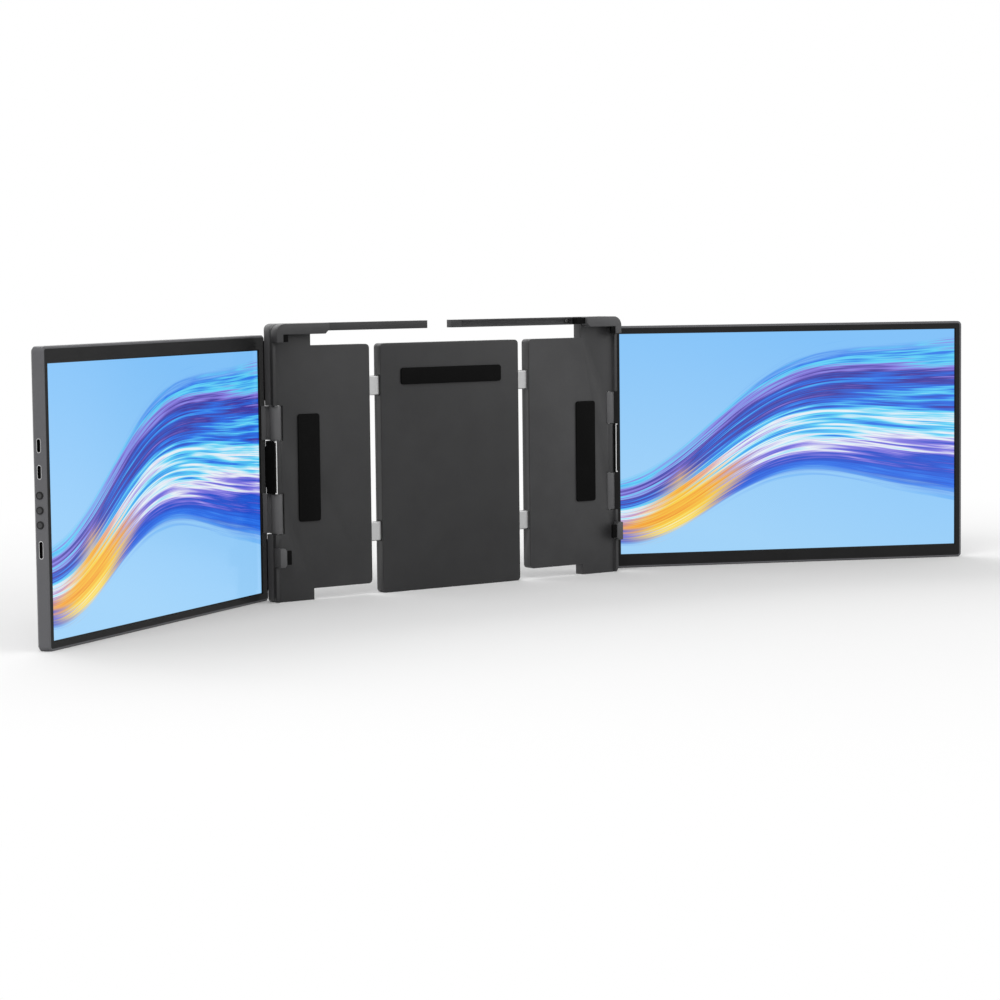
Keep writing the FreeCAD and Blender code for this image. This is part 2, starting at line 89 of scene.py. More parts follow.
# Monitors: how each one stands, and the lit area on its panel
MONITOR_ANGLE = {"left": math.radians(30.0), "right": math.radians(24.9)}
LIT_WIDTH = 275.4 * MM
LIT_HEIGHT = 172.1 * MM
BLACK_EDGE = 0.55 * MM
BLACK_EDGE_BLUR = 0.0015
SCREEN_GLOW = 0.92

# Vertices closer than this are one, and faces that turn by less than this are one
WELD = 0.001 * MM
FLAT_ANGLE = math.radians(0.6)
# Edges that turn by more than these are broken, or shaded as sharp
BREAK_ANGLE = math.radians(38)
SHARP_ANGLE = math.radians(32)
TRIM_SHARP_ANGLE = math.radians(50)
EDGE_SEGMENTS = 2

# All lengths from here on are in millimetres.

# How wide the broken edges are: of the pieces in each half, and of those in the middle
SIDE_EDGES = {
    "frame": 0.35, "back_shell": 0.45, "corner_hook": 0.6, "side_claw": 0.5, "hook_pad": 0.4,
    "claw_pad": 0.4, "lid_pad": 0.3, "hinge_arm": 0.3, "hinge_insert": 0.2,
}
MIDDLE_EDGES = {
    "centre_housing": 0.5, "centre_cover": 0.5, "centre_pad": 0.3, "kickstand": 0.35,
    "kickstand_foot": 0.2, "right_arm_stop": 0.2,
}

# Buttons: outline of the cap as (radius, height over its rim), and the flange behind it
CAP_PROFILE = ((0.0, -0.42), (0.7, -0.38), (1.3, -0.2), (1.62, -0.02), (1.78, 0.0), (2.2, 0.0),
               (2.38, -0.08), (2.45, -0.25))
CAP_DISH = 1.62
CAP_SEGMENTS = 40
FLANGE_RADIUS = 2.9
FLANGE_THICKNESS = 0.6

# Screws: a low head with a rounded edge and a lobed recess, on a shank with a short point
SCREW_HEAD_RADIUS = 1.9
SCREW_HEAD_HEIGHT = 0.9
SCREW_HEAD_ROUND = 0.25
SCREW_ROUND_MIDDLE = (0.06, 0.08)
SCREW_RADIUS = 0.9
SCREW_LENGTH = 4.2
SCREW_POINT = 0.3
SCREW_RECESS = 0.95
SCREW_RECESS_DEPTH = 0.55
SCREW_RECESS_FALL = 0.07
SCREW_RECESS_BREAK = (0.06, 0.04)
SCREW_LOBE = 0.13
SCREW_LOBES = 6
SCREW_SEGMENTS = 48
SCREW_SEED = 7

# Bright bracket on the edge of each hinge insert
BRACKET_INSET = 1.3
BRACKET_WIDTH = 0.75
BRACKET_PROUD = 0.3
BRACKET_EDGE = 0.09

# Depth of the bright rim at a socket's mouth; deeper in, the socket is painted black as shade
SOCKET_LIP = 0.35

# Soft strips on the back of the columns, and the bare lengths below, above and between them
BUMPER_INSET = 1.2
BUMPER_WIDTH = 3.4
BUMPER_PROUD = 1.0
BUMPER_SUNK = 2.2
BUMPER_EDGE = 0.3
BUMPER_BELOW = 8.0
BUMPER_ABOVE = 12.0
BUMPER_GAP = 4.0


class Wire:
    """A shader socket that Python's operators work on."""

    def __init__(self, tree, socket):
        self.tree = tree
        self.socket = socket

    def math(self, operation, *others, clamp=False):
        node = self.tree.nodes.new("ShaderNodeMath")
        node.operation = operation
        node.use_clamp = clamp
        for place, value in enumerate((self, *others)):
            plug(self.tree, node.inputs[place], value)
        return Wire(self.tree, node.outputs[0])

    def __add__(self, other):
        return self.math("ADD", other)

    def __radd__(self, other):
        return self.math("ADD", other)

    def __sub__(self, other):
        return self.math("SUBTRACT", other)

    def __rsub__(self, other):
        return self.math("MULTIPLY_ADD", -1.0, other)

    def __mul__(self, other):
        return self.math("MULTIPLY", other)

    def __truediv__(self, other):
        return self.math("DIVIDE", other)

    def sin(self):
        return self.math("SINE")

    def abs(self):
        return self.math("ABSOLUTE")

    def clamp(self):
        return self.math("ADD", 0.0, clamp=True)

    def step(self, low, high):
        """0 below low, 1 above high, smooth between."""
        node = self.tree.nodes.new("ShaderNodeMapRange")
        node.interpolation_type = "SMOOTHSTEP"
        for name, value in (("Value", self), ("From Min", low), ("From Max", high)):
            plug(self.tree, node.inputs[name], value)
        return Wire(self.tree, node.outputs["Result"])


def plug(tree, socket, value):
    if isinstance(value, Wire):
        tree.links.new(value.socket, socket)
    elif value is not None:
        socket.default_value = value


class Finish:
    """A material under construction."""

    def __init__(self, name, **shader):
        self.material = bpy.data.materials.new(name)
        self.material.use_nodes = True
        self.tree = self.material.node_tree
        self.shader = next(n for n in self.tree.nodes if n.type == "BSDF_PRINCIPLED")
        for socket, value in shader.items():
            self.set(socket.replace("_", " "), value)

    def set(self, socket, value):
        plug(self.tree, self.shader.inputs[socket], value)

    def node(self, kind, settings=None, output=0, **inputs):
        """Any other node: its settings first, then the values or links of its sockets."""
        node = self.tree.nodes.new("ShaderNode" + kind)
        for key, value in (settings or {}).items():
            if key == "stops":
                fill_ramp(node.color_ramp, value)
            else:
                setattr(node, key, value)
        for key, value in inputs.items():
            name = key.replace("_", " ")
            plug(self.tree, node.inputs[int(name[1:]) if name[1:].isdigit() else name], value)
        return Wire(self.tree, node.outputs[output])

    def place(self):
        return self.node("TexCoord", output="Object")

    def noise(self, scale, detail=3.0, roughness=0.55, at=None, stretch=None):
        where = at or self.place()
        if stretch:
            where = self.node("Mapping", Vector=where, Scale=stretch)
        return self.node("TexNoise", Vector=where, Scale=scale, Detail=detail,
                         Roughness=roughness)

    def mix(self, factor, first, second):
        return self.node("Mix", {"data_type": "RGBA"}, 2, i0=factor, i6=first, i7=second)

    def ramp(self, factor, stops):
        return self.node("ValToRGB", {"stops": stops}, 0, Fac=factor)

    def bump(self, height, depth, strength=0.5):
        self.set("Normal", self.node("Bump", Height=height, Distance=depth, Strength=strength))


def fill_ramp(ramp, stops):
    while len(ramp.elements) < len(stops):
        ramp.elements.new(0.5)
    for element, (place, colour) in zip(ramp.elements, stops):
        element.position = place
        element.color = colour


def grey(value, cool=0.0):
    return (value, value, value * (1 + cool), 1)


def moulded(name, value, roughness, grain=2600.0, wear=0.25, cool=0.03, gloss=0.25):
    """Fine-textured moulded or powder-coated surface, a little polished where hands rub it."""
    f = Finish(name, Specular_IOR_Level=gloss)
    fine = f.noise(grain, 2.0)
    cloud = f.noise(38.0, 4.0)
    rub = f.noise(140.0, 5.0, 0.7).step(0.55, 0.75)
    f.set("Base Color", f.mix((cloud * 0.6 + fine * 0.4).step(0.3, 0.7),
                              grey(value * 0.9, cool), grey(value * 1.12, cool)))
    f.set("Roughness", roughness + (fine - 0.5) * 0.18 - rub * wear * 0.2)
    f.bump(fine * 0.8 + cloud * 0.05, 0.00004, 0.35)
    return f.material


def anodised(name, value, roughness, cool=0.06):
    """Bead-blasted anodised metal: a tight sparkle with no visible direction."""
    f = Finish(name, Metallic=0.55)
    bead = f.noise(4200.0, 1.0)
    cloud = f.noise(22.0, 3.0)
    f.set("Base Color", f.mix((bead * 0.7 + cloud * 0.3).step(0.25, 0.75),
                              grey(value * 0.88, cool), grey(value * 1.15, cool)))
    f.set("Roughness", roughness + (bead - 0.5) * 0.16 + (cloud - 0.5) * 0.08)
    f.bump(bead, 0.00003, 0.3)
    return f.material


def machined(name, value, roughness, stretch=(1.0, 1.0, 40.0)):
    """Metal with fine lines from grinding or brushing."""
    f = Finish(name, Metallic=1.0)
    lines = f.noise(260.0, 4.0, 0.6, stretch=stretch)
    spots = f.noise(900.0, 2.0)
    f.set("Base Color", f.mix(lines, grey(value * 0.8), grey(value * 1.15)))
    f.set("Roughness", roughness + (lines - 0.5) * 0.25 + (spots - 0.5) * 0.08)
    f.bump(lines, 0.00003, 0.3)
    return f.material


def rubber(name, value):
    f = Finish(name, Specular_IOR_Level=0.06)
    fine = f.noise(1900.0, 3.0)
    dust = f.noise(90.0, 4.0).step(0.5, 0.8)
    f.set("Base Color", f.mix(dust * 0.3, grey(value), grey(value * 2.2)))
    f.set("Roughness", 0.72 + (fine - 0.5) * 0.2)
    f.bump(fine, 0.00006, 0.5)
    return f.material


def circuit_board(name):
    f = Finish(name)
    weave = f.noise(700.0, 2.0)
    f.set("Base Color", f.mix(weave, (0.008, 0.05, 0.025, 1), (0.015, 0.09, 0.045, 1)))
    f.set("Roughness", 0.35 + weave * 0.2)
    return f.material


def film(name):
    f = Finish(name)
    lanes = f.noise(300.0, 2.0, stretch=(30.0, 30.0, 1.0))
    f.set("Base Color", f.mix(lanes, (0.38, 0.18, 0.03, 1), (0.55, 0.3, 0.07, 1)))
    f.set("Roughness", 0.3 + lanes * 0.15)
    return f.material


SKY = (0.36, 0.68, 1.0, 1)
SKY_DEEP = (0.13, 0.45, 0.98, 1)
COBALT = (0.012, 0.075, 0.62, 1)
ROYAL = (0.02, 0.17, 0.86, 1)
INDIGO = (0.045, 0.03, 0.33, 1)
VIOLET = (0.27, 0.22, 0.83, 1)
AQUA = (0.12, 0.72, 1.0, 1)
PEARL = (0.93, 0.97, 1.0, 1)
AMBER = (0.95, 0.33, 0.02, 1)
RUST = (0.45, 0.07, 0.015, 1)
GOLD = (1.0, 0.72, 0.06, 1)


def lit_screen(name):
    """The lit panel: long flat ribbons of light that cross it, on the panel's own map.

    The map is centred on the lit area and measures in its height.
    """
    f = Finish(name, Roughness=0.16, Specular_IOR_Level=0.35)
    spot = f.node("UVMap", {"uv_map": "panel"})
    split = f.tree.nodes.new("ShaderNodeSeparateXYZ")
    plug(f.tree, split.inputs[0], spot)
    x = Wire(f.tree, split.outputs["X"])
    y = Wire(f.tree, split.outputs["Y"])

    # How far a point lies across the ribbons
    drift = (x * 2.3 + 0.5).sin() * 0.21 + (x * 4.9 + 2.1).sin() * 0.055
    across = y - drift + 0.05
    spread = 0.24 + x * 0.13
    share = across / spread

    def strands(along, over, shift):
        at = f.node("CombineXYZ", X=x * along + shift, Y=share * over, Z=shift)
        return f.noise(1.0, 3.0, 0.6, at=at)

    broad = strands(0.9, 2.6, 1.7)
    fine = strands(1.6, 15.0, 4.2)
    hair = strands(2.4, 46.0, 7.9)
    thread = broad * 0.45 + fine * 0.35 + hair * 0.2
    cold = f.ramp((share * 0.34 + 0.5 + (thread - 0.5) * 1.25).clamp(), [
        (0.0, SKY_DEEP), (0.14, ROYAL), (0.25, COBALT), (0.34, VIOLET), (0.41, PEARL),
        (0.47, AQUA), (0.55, ROYAL), (0.64, INDIGO), (0.72, VIOLET), (0.80, AQUA),
        (0.88, ROYAL), (1.0, SKY_DEEP)])
    warm = f.ramp(((thread - 0.5) * 2.6 + 0.5).clamp(), [
        (0.0, RUST), (0.28, AMBER), (0.55, GOLD), (0.8, (1.0, 0.9, 0.45, 1)), (1.0, PEARL)])

    # The warm end lies along the lower edge of the ribbons, towards the left
    reach = (x + 0.52).abs() + (share + 0.55).abs() * 0.34 + (fine - 0.5) * 0.55
    colour = f.mix(1.0 - reach.step(0.16, 0.42), cold, warm)

    # Plain sky on both sides of the ribbons, with a ragged edge
    edge = share.abs() + (fine - 0.5) * 0.42 + (hair - 0.5) * 0.16
    sky = f.mix((y + 0.5 + (x * 1.4).sin() * 0.25).clamp(), SKY, (0.22, 0.56, 1.0, 1))
    colour = f.mix(edge.step(0.92, 1.12), colour, sky)

    # The unlit black line round the picture
    half_width = LIT_WIDTH / LIT_HEIGHT / 2
    rim = BLACK_EDGE / LIT_HEIGHT
    inside = (half_width - rim - x.abs()).step(0.0, BLACK_EDGE_BLUR) * (
        0.5 - rim - y.abs()).step(0.0, BLACK_EDGE_BLUR)
    f.set("Base Color", (0.008, 0.008, 0.009, 1))
    f.set("Emission Color", f.mix(inside, (0.0, 0.0, 0.0, 1), colour))
    f.set("Emission Strength", SCREEN_GLOW)
    return f.material


FINISHES = {
    "frame": moulded("frame_coat", 0.03, 0.42),
    "shell": moulded("shell_coat", 0.07, 0.46),
    "hook": moulded("hook_coat", 0.08, 0.4, wear=0.5),
    "rail": machined("rail_steel", 0.5, 0.32, stretch=(1.0, 40.0, 40.0)),
    "pad": rubber("pad_rubber", 0.003),
    "stop": rubber("stop_nylon", 0.004),
    "pin": machined("pin_steel", 0.55, 0.25),
    "screw": machined("screw_steel", 0.16, 0.35),
    "monitor_cover": anodised("monitor_anodised", 0.115, 0.42),
    "bezel": moulded("bezel_satin", 0.016, 0.36, grain=3400.0, gloss=0.1),
    "display": lit_screen("lit_screen"),
    "board": circuit_board("board_mask"),
    "flex": film("flex_film"),
    "arm": moulded("arm_coat", 0.1, 0.36),
    "socket": machined("socket_shell", 0.75, 0.18),
    "button": moulded("button_gloss", 0.01, 0.28, grain=3000.0),
    "stand": anodised("stand_anodised", 0.11, 0.4),
}
# Shaded and lit copies of a coat: the left hook's is darker as painted shade, the right frame's
# lighter as painted light, for how the light falls across the halves
PAINTED_LIGHT_AND_SHADE_FINISH = {
    # painted shade: the left hook's coat is darker than the right hook's
    "left_corner_hook": moulded("left_hook_painted_shade_coat", 0.045, 0.4, wear=0.5),
    # painted light: the right frame's coat is lighter than the left frame's
    "right_frame": moulded("right_frame_painted_light_coat", 0.042, 0.42),
}
BUTTON_DISH = moulded("button_dish", 0.05, 0.4, grain=3000.0)
# painted shade: black for the inside of the sockets, their metal walls included, with their dark
# insert
SOCKET_PAINTED_SHADE = rubber("socket_insert_and_painted_shade", 0.004)


def finish_of(node):
    # the painted-light and painted-shade copies of a coat go before the slot's own finish
    return PAINTED_LIGHT_AND_SHADE_FINISH.get(node) or FINISHES[SLOT_OF[node]]


def finish_node(name):
    data = NODES[name].data
    data.materials.clear()
    data.materials.append(finish_of(name))


def in_scene(name, data):
    """Data of any kind as an object that stands in the scene."""
    thing = bpy.data.objects.new(name, data)
    bpy.context.scene.collection.objects.link(thing)
    return thing


def as_mesh(name, shape, sharp=None):
    """A shape under construction as a mesh, shaded as sharp where it turns by more than that."""
    mesh = bpy.data.meshes.new(name)
    shape.to_mesh(mesh)
    shape.free()
    if sharp:
        mesh.set_sharp_from_angle(angle=sharp)
    return mesh


def result_of(draft):
    """The mesh that a draft's modifiers make; the draft itself goes."""
    view = bpy.context.evaluated_depsgraph_get()
    mesh = bpy.data.meshes.new_from_object(draft.evaluated_get(view))
    bpy.data.objects.remove(draft)
    return mesh


def welded(node):
    """A CAD solid as a shape under construction, with its faces joined."""
    shape = bmesh.new()
    shape.from_mesh(NODES[node].data)
    bmesh.ops.remove_doubles(shape, verts=shape.verts, dist=WELD)
    return shape


def new_piece(name, mesh, node):
    """A piece that stands for one CAD node and rides where it does."""
    piece = in_scene(name, mesh)
    mesh.materials.clear()
    mesh.materials.append(finish_of(node))
    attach(piece, BODY_OF[node])
    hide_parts(node)
    return piece


def eased(node, width):
    """The CAD solid again, with its sharp edges broken as a moulded or milled piece has them."""
    shape = welded(node)
    bmesh.ops.dissolve_limit(shape, angle_limit=FLAT_ANGLE, verts=shape.verts, edges=shape.edges)
    draft = in_scene(node + "_draft", as_mesh(node + "_eased", shape))
    bevel = draft.modifiers.new("edge", "BEVEL")
    bevel.width = width * MM
    bevel.segments = EDGE_SEGMENTS
    bevel.limit_method = "ANGLE"
    bevel.angle_limit = BREAK_ANGLE
    bevel.use_clamp_overlap = True
    bevel.harden_normals = False
    mesh = result_of(draft)
    for face in mesh.polygons:
        face.use_smooth = True
    mesh.set_sharp_from_angle(angle=SHARP_ANGLE)
    new_piece(node + "_finished", mesh, node)


def monitor_axes(side, sign):
    """Outwards along a monitor's width, and towards its back."""
    angle = MONITOR_ANGLE[side]
    return (Vector((sign * math.cos(angle), -math.sin(angle), 0)),
            Vector((sign * math.sin(angle), math.cos(angle), 0)))


def solid(name, shape, node):
    """A shape under construction, turned outwards, as a piece."""
    bmesh.ops.recalc_face_normals(shape, faces=shape.faces)
    return new_piece(name, as_mesh(name, shape, SHARP_ANGLE), node)


def lathe(shape, rings, segments, place, radius_at=None):
    """Rings of (radius, height) about Z, closed at both ends, brought to their place."""
    loops = []
    for radius, height in rings:
        loop = []
        for i in range(segments if radius else 1):
            angle = 2 * math.pi * i / segments
            reach = radius_at(radius, height, angle) if radius_at else radius
            spot = Vector((reach * math.cos(angle), reach * math.sin(angle), height)) * MM
            loop.append(shape.verts.new(place @ spot))
        loops.append(loop)
    for first, second in zip(loops, loops[1:]):
        for i in range(segments):
            j = (i + 1) % segments
            corners = [first[i % len(first)], first[j % len(first)],
                       second[j % len(second)], second[i % len(second)]]
            shape.faces.new(list(dict.fromkeys(corners))).smooth = True


def turned_to(axis, place):
    """Brings Z onto an axis and the origin to a place."""
    return Matrix.Translation(place) @ axis.to_track_quat("Z", "Y").to_matrix().to_4x4()


def extent(node, axis):
    """How far a CAD solid goes along an axis, lowest and highest."""
    spans = [v.co.dot(axis) for v in NODES[node].data.vertices]
    return min(spans), max(spans)


def middle_of(node, axis, along):
    """The point on a CAD solid's own middle line, this far along an axis."""
    sideways = axis.cross(UP)
    return (axis * along + sideways * sum(extent(node, sideways)) / 2
            + UP * sum(extent(node, UP)) / 2)


def push_button(node, out):
    """A dished cap with a raised rim, and the flange that keeps it in the side wall."""
    low, high = extent(node, out)
    length = (high - low) / MM
    rings = list(CAP_PROFILE) + [
        (CAP_PROFILE[-1][0], FLANGE_THICKNESS - length), (FLANGE_RADIUS, FLANGE_THICKNESS - length),
        (FLANGE_RADIUS, -length), (0.0, -length)]
    shape = bmesh.new()
    lathe(shape, rings, CAP_SEGMENTS, turned_to(out, middle_of(node, out, high)))
    piece = solid(node + "_cap", shape, node)
    piece.data.materials.append(BUTTON_DISH)
    dish = sum(1 for radius, _ in CAP_PROFILE if 0 < radius <= CAP_DISH)
    for face in piece.data.polygons[:dish * CAP_SEGMENTS]:
        face.material_index = 1


def shaded_socket_inside(node, out):
    """A socket's bright rim round a throat painted black: partly the dark insert such a socket has,
    partly painted shade on its metal walls.
    """
    mesh = NODES[node].data.copy()
    piece = new_piece(node + "_rim", mesh, node)
    mesh.materials.append(SOCKET_PAINTED_SHADE)
    mouth = extent(node, out)[1] - SOCKET_LIP * MM
    # faces deeper than the rim get the black, painted shade over the walls
    for face in mesh.polygons:
        face.material_index = 1 if face.center.dot(out) < mouth else 0


def trim(name, boxes, body, slot, edge):
    """Thin applied strips with broken edges, each given by its lowest and highest corner."""
    shape = bmesh.new()
    for low, high in boxes:
        low, high = Vector(low), Vector(high)
        size = Matrix.Diagonal(high - low).to_4x4()
        bmesh.ops.create_cube(shape, matrix=Matrix.Translation((low + high) / 2) @ size)
    bmesh.ops.recalc_face_normals(shape, faces=shape.faces)
    bmesh.ops.bevel(shape, geom=shape.edges, offset=edge * MM, segments=EDGE_SEGMENTS,
                    affect="EDGES")
    for face in shape.faces:
        face.smooth = True
    mesh = as_mesh(name, shape, TRIM_SHARP_ANGLE)
    mesh.materials.append(FINISHES[slot])
    piece = in_scene(name, mesh)
    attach(piece, body)


def ordered(sign, x0, x1, y0, y1, z0, z1):
    """A box between two distances from the middle plane, on one side of it."""
    return ((min(sign * x0, sign * x1), y0, z0), (max(sign * x0, sign * x1), y1, z1))


def bracket(side, sign):
    """The bright line along the insert between the knuckles, with a short foot at each end."""
    low, high = (Vector(p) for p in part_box(side + "_hinge_insert"))
    outer = max(abs(low.x), abs(high.x))
    line = outer - BRACKET_INSET * MM
    width, proud = BRACKET_WIDTH * MM, BRACKET_PROUD * MM
    foot = outer - width / 3
    trim(side + "_bracket", [
        ordered(sign, line - width, line, low.y - proud, low.y, low.z, high.z),
        ordered(sign, line, foot, low.y - proud, low.y, low.z, low.z + width),
        ordered(sign, line, foot, low.y - proud, low.y, high.z - width, high.z),
    ], side + "_half", "socket", BRACKET_EDGE)


def bumpers(side, sign):
    """Soft strips on the column's rear rib, above, between and below the hinge's knuckles."""
    insert_low, insert_high = (Vector(p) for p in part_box(side + "_hinge_insert"))
    arm_low, arm_high = (Vector(p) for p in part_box(side + "_hinge_arm"))
    shell_low, shell_high = (Vector(p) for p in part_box(side + "_back_shell"))
    outer = max(abs(shell_low.x), abs(shell_high.x)) - BUMPER_INSET * MM
    inner = outer - BUMPER_WIDTH * MM
    gap = BUMPER_GAP * MM
    spans = [(shell_low.z + BUMPER_BELOW * MM, arm_low.z - gap),
             (insert_low.z + gap, insert_high.z - gap),
             (arm_high.z + gap, shell_high.z - BUMPER_ABOVE * MM)]
    depth = (shell_high.y - BUMPER_SUNK * MM, shell_high.y + BUMPER_PROUD * MM)
    trim(side + "_bumpers", [ordered(sign, inner, outer, *depth, z0, z1) for z0, z1 in spans],
         side + "_half", "pad", BUMPER_EDGE)


def one_screw():
    """The screw that is set at every screw's place, its head's top at the origin."""
    recess, head = SCREW_RECESS, SCREW_HEAD_RADIUS
    break_width, break_depth = SCREW_RECESS_BREAK
    round_in, round_down = SCREW_ROUND_MIDDLE
    rings = [(0.0, -SCREW_RECESS_DEPTH - SCREW_RECESS_FALL), (recess, -SCREW_RECESS_DEPTH),
             (recess, -break_depth), (recess + break_width, 0.0),
             (head - SCREW_HEAD_ROUND, 0.0), (head - round_in, -round_down),
             (head, -SCREW_HEAD_ROUND), (head, -SCREW_HEAD_HEIGHT),
             (SCREW_RADIUS, -SCREW_HEAD_HEIGHT), (SCREW_RADIUS, SCREW_POINT - SCREW_LENGTH),
             (SCREW_RADIUS - SCREW_POINT, -SCREW_LENGTH), (0.0, -SCREW_LENGTH)]

    def lobed(radius, height, angle):
        inside = height > -SCREW_HEAD_HEIGHT and radius <= recess + break_width
        return radius - SCREW_LOBE * (1 - math.cos(SCREW_LOBES * angle)) if inside else radius

    shape = bmesh.new()
    lathe(shape, rings, SCREW_SEGMENTS, Matrix(), lobed)
    bmesh.ops.recalc_face_normals(shape, faces=shape.faces)
    pattern = bpy.data.objects.new("screw_pattern", as_mesh("screw_pattern", shape, SHARP_ANGLE))
    pattern.hide_render = True
    return pattern


def screw_tree(pattern):
    """Sets the pattern at every point, its head along the point's own normal."""
    tree = bpy.data.node_groups.new("set_screws", "GeometryNodeTree")
    face = tree.interface
    face.new_socket("Places", in_out="INPUT", socket_type="NodeSocketGeometry")
    scale = face.new_socket("Scale", in_out="INPUT", socket_type="NodeSocketFloat")
    spin = face.new_socket("Largest turn", in_out="INPUT", socket_type="NodeSocketFloat")
    finish = face.new_socket("Finish", in_out="INPUT", socket_type="NodeSocketMaterial")
    face.new_socket("Screws", in_out="OUTPUT", socket_type="NodeSocketGeometry")

    def add(kind, **settings):
        node = tree.nodes.new(kind)
        for key, value in settings.items():
            setattr(node, key, value)
        return node

    source = add("NodeGroupInput")
    points = add("GeometryNodeMeshToPoints")
    heading = add("GeometryNodeInputNamedAttribute", data_type="FLOAT_VECTOR")
    heading.inputs["Name"].default_value = "heading"
    aligned = add("FunctionNodeAlignRotationToVector", axis="Z")
    turn = add("FunctionNodeRandomValue", data_type="FLOAT")
    turn.inputs["Seed"].default_value = SCREW_SEED
    about = add("FunctionNodeAxisAngleToRotation")
    about.inputs["Axis"].default_value = (0, 0, 1)
    both = add("FunctionNodeRotateRotation", rotation_space="LOCAL")
    item = add("GeometryNodeObjectInfo")
    item.inputs["Object"].default_value = pattern
    copies = add("GeometryNodeInstanceOnPoints")
    real = add("GeometryNodeRealizeInstances")
    painted = add("GeometryNodeSetMaterial")
    result = add("NodeGroupOutput")
    for start, end in (
            (source.outputs["Places"], points.inputs["Mesh"]),
            (heading.outputs["Attribute"], aligned.inputs["Vector"]),
            (source.outputs["Largest turn"], turn.inputs[3]),
            (turn.outputs[1], about.inputs["Angle"]),
            (aligned.outputs["Rotation"], both.inputs["Rotation"]),
            (about.outputs["Rotation"], both.inputs["Rotate By"]),
            (points.outputs["Points"], copies.inputs["Points"]),
            (item.outputs["Geometry"], copies.inputs["Instance"]),
            (both.outputs["Rotation"], copies.inputs["Rotation"]),
            (source.outputs["Scale"], copies.inputs["Scale"]),
            (copies.outputs["Instances"], real.inputs["Geometry"]),
            (real.outputs["Geometry"], painted.inputs["Geometry"]),
            (source.outputs["Finish"], painted.inputs["Material"]),
            (painted.outputs["Geometry"], result.inputs["Screws"])):
        tree.links.new(start, end)
    return tree, scale.identifier, spin.identifier, finish.identifier


def islands(shape):
    """The places of the vertices in each solid that a shape holds."""
    left = set(shape.verts)
    for first in shape.verts:
        if first not in left:
            continue
        left.discard(first)
        found, edge = [], [first]
        while edge:
            vert = edge.pop()
            found.append(vert.co)
            for link in vert.link_edges:
                other = link.other_vert(vert)
                if other in left:
                    left.discard(other)
                    edge.append(other)
        yield found


def screw_places(node, normal):
    """Where each screw of a CAD node has the top of its head, and which way that looks."""
    places = []
    shape = welded(node)
    for points in islands(shape):
        low, high = (Vector([pick(p[i] for p in points) for i in range(3)]) for pick in (min, max))
        centre = (low + high) / 2
        spans = [p.dot(normal) for p in points]
        # The head is the widest part, so the furthest point from the screw's line is on it
        wide = max(points, key=lambda p: (p - centre).cross(normal).length)
        outward = normal if wide.dot(normal) > (min(spans) + max(spans)) / 2 else -normal
        top = max(p.dot(outward) for p in points)
        places.append((centre + outward * (top - centre.dot(outward)), outward))
    shape.free()
    return places


def set_screws(node, normal, tree, scale, spin, finish):
    places = screw_places(node, normal)
    mesh = bpy.data.meshes.new(node + "_places")
    mesh.from_pydata([place for place, _ in places], [], [])
    heading = mesh.attributes.new("heading", "FLOAT_VECTOR", "POINT")
    for item, (_, outward) in zip(heading.data, places):
        item.vector = outward
    draft = in_scene(node + "_draft", mesh)
    modifier = draft.modifiers.new("screws", "NODES")
    modifier.node_group = tree
    modifier[scale] = 1.0
    modifier[spin] = 2 * math.pi / SCREW_LOBES
    modifier[finish] = FINISHES["screw"]
    new_piece(node + "_set", result_of(draft), node)


def lit_panel(side, sign):
    """The display panel as a closed slab whose front carries the picture's map."""
    node = side + "_display_panel"
    out, back = monitor_axes(side, sign)
    spans = [extent(node, direction) for direction in (out, back, UP)]
    shape = bmesh.new()
    corners = {}
    for i in (0, 1):
        for j in (0, 1):
            for k in (0, 1):
                corners[i, j, k] = shape.verts.new(
                    out * spans[0][i] + back * spans[1][j] + UP * spans[2][k])
    for axis in range(3):
        for end in (0, 1):
            ring = [(0, 0), (1, 0), (1, 1), (0, 1)]
            shape.faces.new([corners[r[:axis] + (end,) + r[axis:]] for r in ring])
    bmesh.ops.recalc_face_normals(shape, faces=shape.faces)
    uv = shape.loops.layers.uv.new("panel")
    right = out * sign
    centre = (out * sum(spans[0]) + back * sum(spans[1]) + UP * sum(spans[2])) / 2
    for face in shape.faces:
        for loop in face.loops:
            offset = loop.vert.co - centre
            loop[uv].uv = (offset.dot(right) / LIT_HEIGHT, offset.dot(UP) / LIT_HEIGHT)
    piece = new_piece(side + "_screen", as_mesh(node + "_lit", shape), node)
    piece.visible_diffuse = False
    piece.visible_glossy = False


for node_name in NODES:
    finish_node(node_name)
screw_kit = screw_tree(one_screw())
set_screws("centre_screws", REARWARDS, *screw_kit)
for side, sign in SIDES:
    monitor_out, monitor_back = monitor_axes(side, sign)
    lit_panel(side, sign)
    set_screws(side + "_frame_screws", REARWARDS, *screw_kit)
    set_screws(side + "_cover_screws", monitor_back, *screw_kit)
    for part in ("power", "plus", "minus"):
        push_button(f"{side}_{part}_button", monitor_out)
    for part in ("usb_socket_a", "usb_socket_b", "hdmi_socket"):
        shaded_socket_inside(f"{side}_{part}", monitor_out)
    bracket(side, sign)
    bumpers(side, sign)
    for part, width in SIDE_EDGES.items():
        eased(f"{side}_{part}", width)
for part, width in MIDDLE_EDGES.items():
    eased(part, width)


def camera():
    data = bpy.data.cameras.new("photo_camera")
    data.sensor_fit = "HORIZONTAL"
    data.sensor_width = CAMERA_SENSOR
    data.lens = CAMERA_LENS
    data.clip_end = CAMERA_REACH
    eye = in_scene("photo_camera", data)
    forward = CAMERA_FORWARD.normalized()
    right = (CAMERA_RIGHT - forward * CAMERA_RIGHT.dot(forward)).normalized()
    up = right.cross(forward)
    turn = Matrix((right, up, -forward)).transposed().to_4x4()
    eye.matrix_world = Matrix.Translation(CAMERA_PLACE) @ turn
    bpy.context.scene.camera = eye


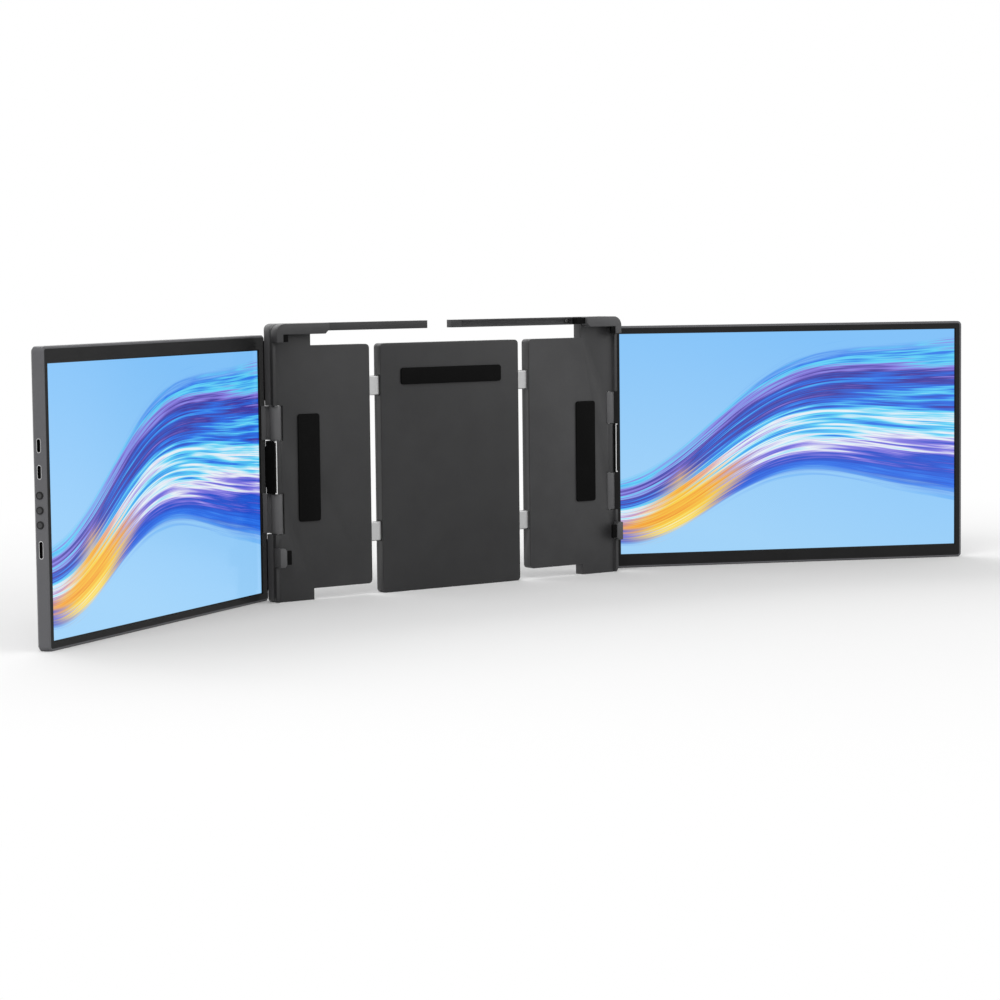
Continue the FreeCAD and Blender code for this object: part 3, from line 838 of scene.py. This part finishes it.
def lamp(name, place, size, power):
    data = bpy.data.lights.new(name, "AREA")
    data.shape = "RECTANGLE"
    data.size, data.size_y = size
    data.energy = power
    light = in_scene(name, data)
    light.location = place
    light.rotation_euler = (LAMP_AIM - Vector(place)).to_track_quat("-Z", "Y").to_euler()


def floor():
    shape = bmesh.new()
    bmesh.ops.create_circle(shape, cap_ends=True, segments=96, radius=FLOOR_RADIUS)
    ground = in_scene("floor", as_mesh("floor", shape))
    f = Finish("floor_white", Roughness=0.9, Specular_IOR_Level=0.1)
    f.set("Base Color", grey(FLOOR_SHADE))
    # Away from the object the floor is seen as plain white, so that no horizon shows
    glow = f.tree.nodes.new("ShaderNodeEmission")
    glow.inputs["Color"].default_value = (1, 1, 1, 1)
    far = f.node("VectorMath", {"operation": "LENGTH"}, 1, i0=f.place()).step(*FLOOR_FADE)
    seen = f.node("LightPath", output="Is Camera Ray")
    both = f.tree.nodes.new("ShaderNodeMixShader")
    plug(f.tree, both.inputs[0], far * seen)
    f.tree.links.new(f.shader.outputs[0], both.inputs[1])
    f.tree.links.new(glow.outputs[0], both.inputs[2])
    ending = next(n for n in f.tree.nodes if n.type == "OUTPUT_MATERIAL")
    f.tree.links.new(both.outputs[0], ending.inputs["Surface"])
    ground.data.materials.append(f.material)


def world():
    sky = bpy.data.worlds.new("studio")
    sky.use_nodes = True
    bpy.context.scene.world = sky
    tree = sky.node_tree
    back = next(n for n in tree.nodes if n.type == "BACKGROUND")
    back.inputs["Color"].default_value = (1, 1, 1, 1)
    path = tree.nodes.new("ShaderNodeLightPath")
    seen = Wire(tree, path.outputs["Is Camera Ray"]) + Wire(tree, path.outputs["Is Glossy Ray"])
    seen = (seen + Wire(tree, path.outputs["Is Transmission Ray"])).clamp()
    plug(tree, back.inputs["Strength"], ROOM_LIGHT + seen * (ROOM_SEEN - ROOM_LIGHT))


camera()
floor()
world()
for name, setting in LAMPS.items():
    lamp(name, *setting)
bpy.context.scene.view_settings.view_transform = "Standard"
